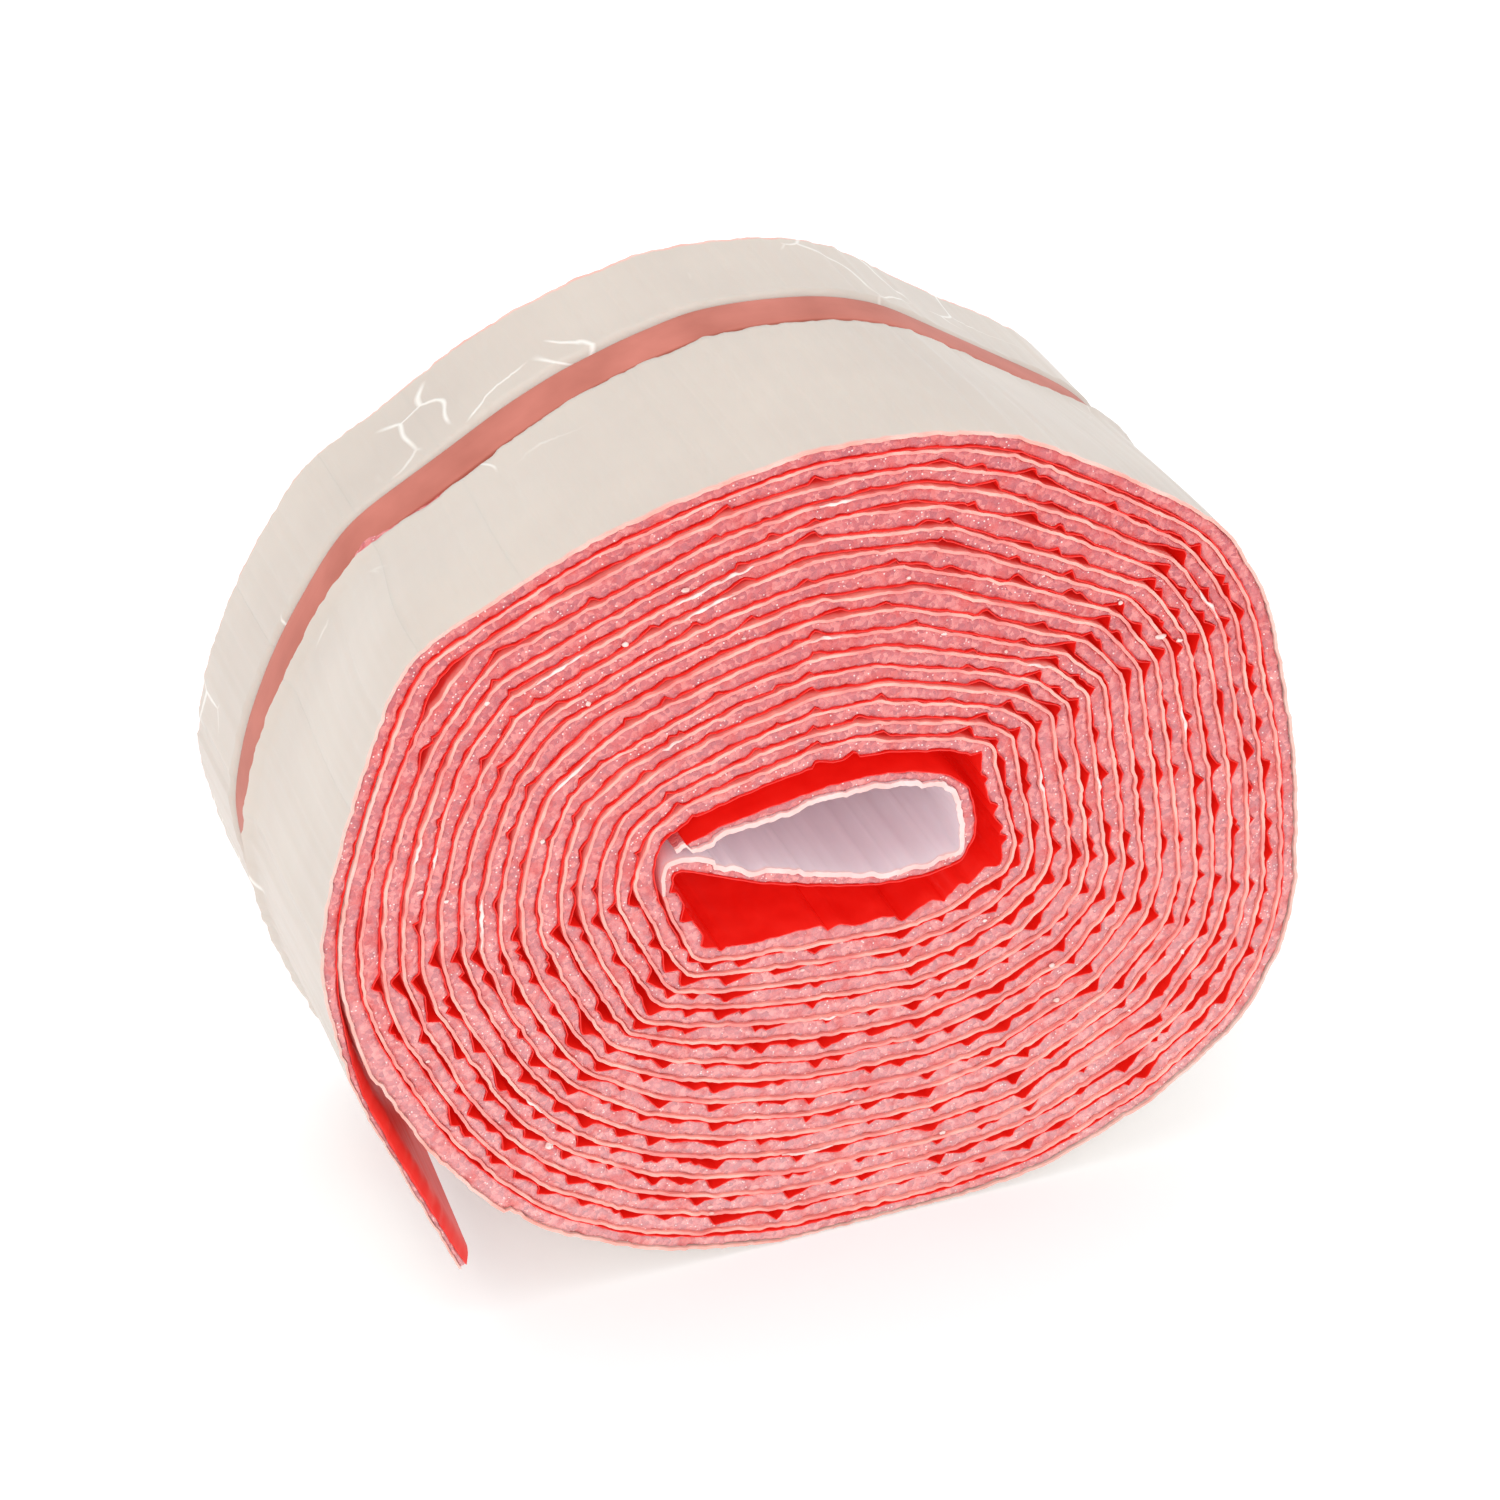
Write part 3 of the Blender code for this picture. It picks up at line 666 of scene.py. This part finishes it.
eyeEnd, coreEnd = column(strip["eyeEnd"]), column(190 * mm)
midCut = column(1850 * mm)
skinStart = column(lengthRun[-1] - 405 * mm)
rollEnd = column(hinges[0] - 4 * mm)
stops = [rollEnd, *[column(0.5 * (a + b)) for a, b in zip(hinges, hinges[1:])], count - 1]
made = []
for ply in ("facing", "foam", "backing"):
    plain = hidden if ply == "foam" else filmHidden
    parts = [("eye", 0, eyeEnd, eyeStations, eyeShape), ("core", eyeEnd, coreEnd, eyeStations, eyeShape)]
    parts += [("inner", coreEnd, midCut, plain, None), ("outer", midCut, skinStart, plain, None)]
    parts += [("skin", skinStart, rollEnd, skinStations, onSkin)]
    for name, first, last, stations, shape in parts:
        piece = plyPiece(f"{ply}_{name}", ply, first, last, stations, shape)
        films = {"eye": eyeFilm, "core": coveredFilm, "inner": coveredFilm, "outer": coveredFilm}
        piece.data.materials.append(films.get(name, finish[ply]) if ply == "backing" else finish[ply])
        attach(piece, "roll")
        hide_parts(f"roll_{ply}")
        made.append(piece)
    for k, body in enumerate(tailBodies):
        piece = plyPiece(f"{ply}_{body}", ply, stops[k], stops[k + 1], skinStations, onSkin)
        piece.data.materials.append(finish[ply])
        near = column(hinges[k])
        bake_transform(piece)
        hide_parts(f"{body}_{ply}")
        made.append(piece)
    print(ply, "done:", sum(len(p.data.polygons) for p in made if p.name.startswith(ply)), "faces")


# ---- loose bits on the cut face

loose = {
    "slivers": 20,              # film edges that the blade tore loose
    "sliverWidth": 0.19 * mm,
    "crumbs": 30,
    "crumbSize": (0.16 * mm, 0.34 * mm),
    "seed": 5,
}
rng = random.Random(loose["seed"])


def tornFilm():
    # torn polyethylene film: thin, white and glossy, with a slight pink stain
    material, tree, surface, place = newMaterial("tornFilm")
    stain = addNode(tree, "ShaderNodeTexNoise", {"Vector": place}, Scale=600.0, Detail=2.0)
    shade = addNode(tree, "ShaderNodeValToRGB", {"Fac": stain.outputs["Fac"]})
    shade.color_ramp.elements[0].position = 0.35
    shade.color_ramp.elements[0].color = hexColour("F3BFB7")
    shade.color_ramp.elements[1].position = 0.6
    shade.color_ramp.elements[1].color = hexColour("FFE6E0")
    tree.links.new(shade.outputs[0], surface.inputs["Base Color"])
    surface.inputs["Roughness"].default_value = 0.3
    surface.inputs["IOR"].default_value = 1.51
    return material


def sliver(number, first, last):
    index = np.arange(first, last + 1)
    t = np.linspace(0, 1, len(index))
    taper = np.sin(math.pi * np.clip(t, 0.03, 0.97)) ** 0.6
    width = loose["sliverWidth"] * taper * (1 + 0.35 * np.sin(t * 17 + number))
    lift = 0.10 * mm * np.sin(math.pi * t)
    centre = white[index] - normal[index] * (0.12 * mm + 0.08 * mm * np.sin(t * 9 + number))[:, None]
    ring = []
    for k in range(6):
        angle = k * math.pi / 3
        xz = centre + normal[index] * (width * math.cos(angle))[:, None]
        y = -strip["width"] / 2 - 0.24 * mm - lift - telescope[index] - cutWave[index]
        y = y + 0.16 * mm * math.sin(angle)
        ring.append(np.stack([xz[:, 0], y, xz[:, 1]], 1))
    points = np.stack(ring, 1)
    grid = np.arange(len(index) * 6).reshape(-1, 6)
    beside = np.roll(grid, -1, axis=1)
    faces = np.stack([grid[:-1], beside[:-1], beside[1:], grid[1:]], -1).reshape(-1, 4).tolist()
    faces += [grid[0].tolist()[::-1], grid[-1].tolist()]
    mesh = bpy.data.meshes.new("sliver")
    mesh.from_pydata(points.reshape(-1, 3).tolist(), [], faces)
    piece = bpy.data.objects.new("sliver", mesh)
    bpy.context.scene.collection.objects.link(piece)
    return piece


def joined(pieces, name, material):
    bpy.ops.object.select_all(action="DESELECT")
    for piece in pieces:
        piece.select_set(True)
    bpy.context.view_layer.objects.active = pieces[0]
    bpy.ops.object.join()
    piece = bpy.context.object
    piece.name = name
    bpy.ops.object.transform_apply(location=True, rotation=True, scale=True)
    bpy.ops.object.mode_set(mode="EDIT")
    bpy.ops.mesh.select_all(action="SELECT")
    bpy.ops.mesh.normals_make_consistent(inside=False)
    bpy.ops.object.mode_set(mode="OBJECT")
    bpy.ops.object.shade_smooth()
    piece.data.materials.clear()
    piece.data.materials.append(material)
    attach(piece, "roll")
    return piece


bits = []
while len(bits) < loose["slivers"]:
    first = column(rng.uniform(300, 2900) * mm)
    last = first + column(rng.uniform(2, 6) * mm)
    if last > skinStart:
        continue
    toRight, toTop = white[first] - middle
    if toTop < 0 and rng.random() < 0.85 or toRight > 14 * mm and rng.random() < 0.6:
        continue
    bits.append(sliver(len(bits), first, last))
joined(bits, "filmSlivers", tornFilm())
bits = []
for k in range(loose["crumbs"]):
    i = column(rng.uniform(260, 3000) * mm)
    i = min(i, skinStart)
    share = rng.uniform(0.1, 0.9)
    xz = red[i] * (1 - share) + white[i] * share
    size = rng.uniform(*loose["crumbSize"]) * (1.8 if k < 4 else 1.0)
    bpy.ops.object.select_all(action="DESELECT")
    faceY = -strip["width"] / 2 - 0.15 * mm - telescope[i]
    bpy.ops.mesh.primitive_ico_sphere_add(subdivisions=2, radius=size, location=(xz[0], faceY, xz[1]))
    bpy.ops.object.mode_set(mode="EDIT")
    bpy.ops.mesh.select_all(action="SELECT")
    bpy.ops.transform.resize(value=(rng.uniform(0.7, 1.7), 0.6, rng.uniform(0.5, 1.1)))
    bpy.ops.transform.vertex_random(offset=size * 0.40, seed=k)
    bpy.ops.object.mode_set(mode="OBJECT")
    bits.append(bpy.context.object)
joined(bits, "foamCrumbs", bpy.data.materials["tornFilm"])
print("loose bits:", loose["slivers"], "slivers and", loose["crumbs"], "crumbs")


# ---- rubber band

band = {
    "width": 6.0 * mm,
    "thickness": 0.8 * mm,
    "corner": 0.2 * mm,
    "columns": 640,
    "sway": 0.10 * mm,          # how far its edges wander
}


def hullOf(points):
    # corners of the convex outline round points, counter-clockwise
    def chain(ordered):
        kept = []
        for p in ordered:
            while len(kept) > 1:
                a, b = kept[-1] - kept[-2], p - kept[-1]
                if a[0] * b[1] - a[1] * b[0] > 0:
                    break
                kept.pop()
            kept.append(p)
        return kept[:-1]
    ordered = sorted(points, key=lambda p: (p[0], p[1]))
    return np.array(chain(ordered) + chain(ordered[::-1]))


bandLow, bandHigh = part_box("rubber_band")
bandY = 0.5 * (bandLow.y + bandHigh.y)
grooveFloor = white[free] - normal[free] * (groove["depth"] - 0.03 * mm)
grooveFloor = np.stack(drawnIn(grooveFloor[:, 0], bandY, grooveFloor[:, 1]), 1)
loop = hullOf(list(grooveFloor))
loop = np.vstack([loop, loop[:1]])
lengths = np.concatenate([[0], np.cumsum(np.hypot(*np.diff(loop, axis=0).T))])
along = np.linspace(0, lengths[-1], band["columns"], endpoint=False)
path = np.stack([np.interp(along, lengths, loop[:, k]) for k in (0, 1)], 1)
wide = smooth(np.vstack([path[-40:], path, path[:40]]), 3.0)[40:-40]
tangent = np.roll(wide, -1, axis=0) - np.roll(wide, 1, axis=0)
out = np.stack([tangent[:, 1], -tangent[:, 0]], 1) / np.hypot(*tangent.T)[:, None]
section = []
for cx, cz, start in ((1, 1, 0), (-1, 1, 90), (-1, -1, 180), (1, -1, 270)):
    for turn in (0, 30, 60, 90):
        angle = math.radians(start + turn)
        section.append((cx * (band["width"] / 2 - band["corner"]) + band["corner"] * math.cos(angle),
                        cz * (band["thickness"] / 2 - band["corner"]) + band["corner"] * math.sin(angle)))
    if cz == 1 and cx == 1 or cz == -1 and cx == -1:
        section += [(cx * x * mm, cz * band["thickness"] / 2) for x in (1.8, 0.6, -0.6, -1.8)]
turn = np.arange(band["columns"]) * 2 * math.pi / band["columns"]
points = np.zeros((band["columns"], len(section), 3))
for k, (across, up) in enumerate(section):
    waves = np.sin(3 * turn + 1) + 0.6 * np.sin(7 * turn) + 0.4 * np.sin(17 * turn + across * 300)
    sway = band["sway"] * waves
    cup = 0.06 * mm * (across / (band["width"] / 2)) ** 2
    xz = wide + out * (band["thickness"] / 2 + up - cup)
    points[:, k, 0], points[:, k, 1], points[:, k, 2] = xz[:, 0], bandY + across + sway, xz[:, 1]
number = np.arange(points.shape[0] * points.shape[1]).reshape(points.shape[:2])
ahead, beside = np.roll(number, -1, axis=0), np.roll(number, -1, axis=1)
both = np.roll(ahead, -1, axis=1)
faces = np.stack([number, beside, both, ahead], -1).reshape(-1, 4).tolist()
mesh = bpy.data.meshes.new("rubberBand")
mesh.from_pydata(points.reshape(-1, 3).tolist(), [], faces)
rubberBand = bpy.data.objects.new("rubberBand", mesh)
bpy.context.scene.collection.objects.link(rubberBand)
bpy.ops.object.select_all(action="DESELECT")
rubberBand.select_set(True)
bpy.context.view_layer.objects.active = rubberBand
bpy.ops.object.mode_set(mode="EDIT")
bpy.ops.mesh.select_all(action="SELECT")
bpy.ops.mesh.normals_make_consistent(inside=False)
bpy.ops.object.mode_set(mode="OBJECT")
bpy.ops.object.shade_smooth_by_angle(angle=math.radians(40))
mesh.materials.append(rubber)
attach(rubberBand, "band")
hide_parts("rubber_band")
print("rubber band:", len(mesh.polygons), "faces")

bpy.context.scene.view_settings.view_transform = "Standard"


# ---- floor, light and camera

bpy.ops.object.select_all(action="DESELECT")
bpy.ops.mesh.primitive_plane_add(size=6, location=(0, 0, 0))
floor = bpy.context.object
floor.name = "floor"
bpy.ops.object.mode_set(mode="EDIT")
bpy.ops.mesh.subdivide(number_cuts=40)
bpy.ops.object.mode_set(mode="OBJECT")
for corner in floor.data.vertices:
    # the paper sweeps up towards its rim
    corner.co.z = 0.3 * max(0, math.hypot(corner.co.x, corner.co.y) - 1.8) ** 2
bpy.ops.object.shade_smooth()
paper, tree, surface, place = newMaterial("whitePaper")
surface.inputs["Base Color"].default_value = hexColour("EEEEEE")
surface.inputs["Emission Color"].default_value = (1, 1, 1, 1)
surface.inputs["Emission Strength"].default_value = 0.25
surface.inputs["Roughness"].default_value = 0.78
surface.inputs["Specular IOR Level"].default_value = 0.1
floor.data.materials.append(paper)

world = bpy.data.worlds.new("studio")
bpy.context.scene.world = world
world.use_nodes = True
world.node_tree.nodes["Background"].inputs["Color"].default_value = (1, 1, 1, 1)
world.node_tree.nodes["Background"].inputs["Strength"].default_value = 0.86


def softBox(name, place, target, size, power):
    lamp = bpy.data.lights.new(name, "AREA")
    lamp.shape = "RECTANGLE"
    lamp.size, lamp.size_y = size
    lamp.energy = power
    holder = bpy.data.objects.new(name, lamp)
    bpy.context.scene.collection.objects.link(holder)
    holder.location = place
    holder.rotation_euler = (Vector(target) - Vector(place)).to_track_quat("-Z", "Y").to_euler()


softBox("topLight", (-0.15, 0.1, 0.9), (0, 0, 0.05), (0.9, 0.9), 2.1)
softBox("frontLight", (-0.35, -0.9, 0.55), (0, 0, 0.05), (0.7, 0.5), 3.0)

eye = {"place": (-0.1424, -0.3677, 0.2943), "towards": (0.307, 0.792, -0.527), "lens": 99.5}
camera = bpy.data.objects.new("camera", bpy.data.cameras.new("camera"))
camera.data.lens = eye["lens"]
camera.data.sensor_width = 36
camera.location = eye["place"]
camera.rotation_euler = Vector(eye["towards"]).to_track_quat("-Z", "Y").to_euler()
bpy.context.scene.collection.objects.link(camera)
bpy.context.scene.camera = camera
